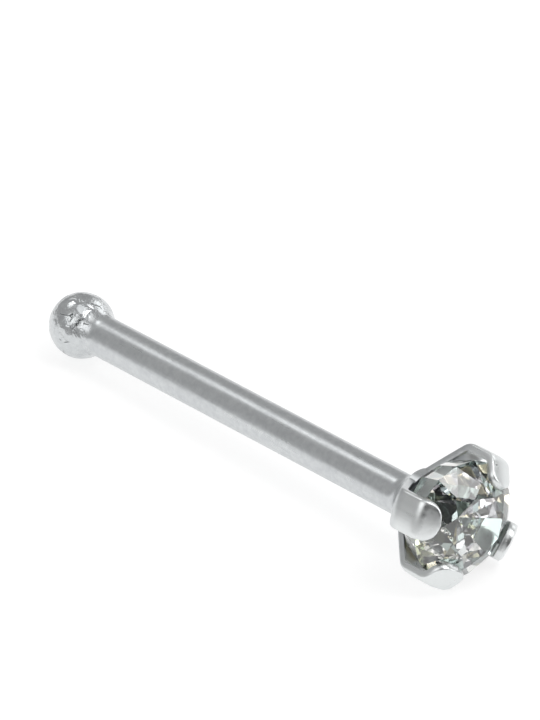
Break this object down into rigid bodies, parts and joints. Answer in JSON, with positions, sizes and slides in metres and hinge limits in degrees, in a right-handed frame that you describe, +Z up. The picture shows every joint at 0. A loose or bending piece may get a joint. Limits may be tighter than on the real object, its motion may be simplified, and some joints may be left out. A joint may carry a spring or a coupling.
{
  "type": "nose stud",
  "caption": "Straight nose stud: plain silver wire post with a ball end and a claw cup that holds a round, clear, faceted stone.",
  "frame": {"origin": "bottom centre of the stud's box as it lies on a level surface, resting on its ball and two claws", "axes": "+X from the ball to the stone along the post, which rises about 2.5 degrees towards the stone, +Z up"},
  "size_m": [0.0096, 0.002, 0.0019],
  "materials": {
    "silver": "soft tumbled polish",
    "stone": "polished facets"
  },
  "bodies": {
    "root": {"silver_stud": "silver", "stone": "stone"}
  },
  "joints": []
}
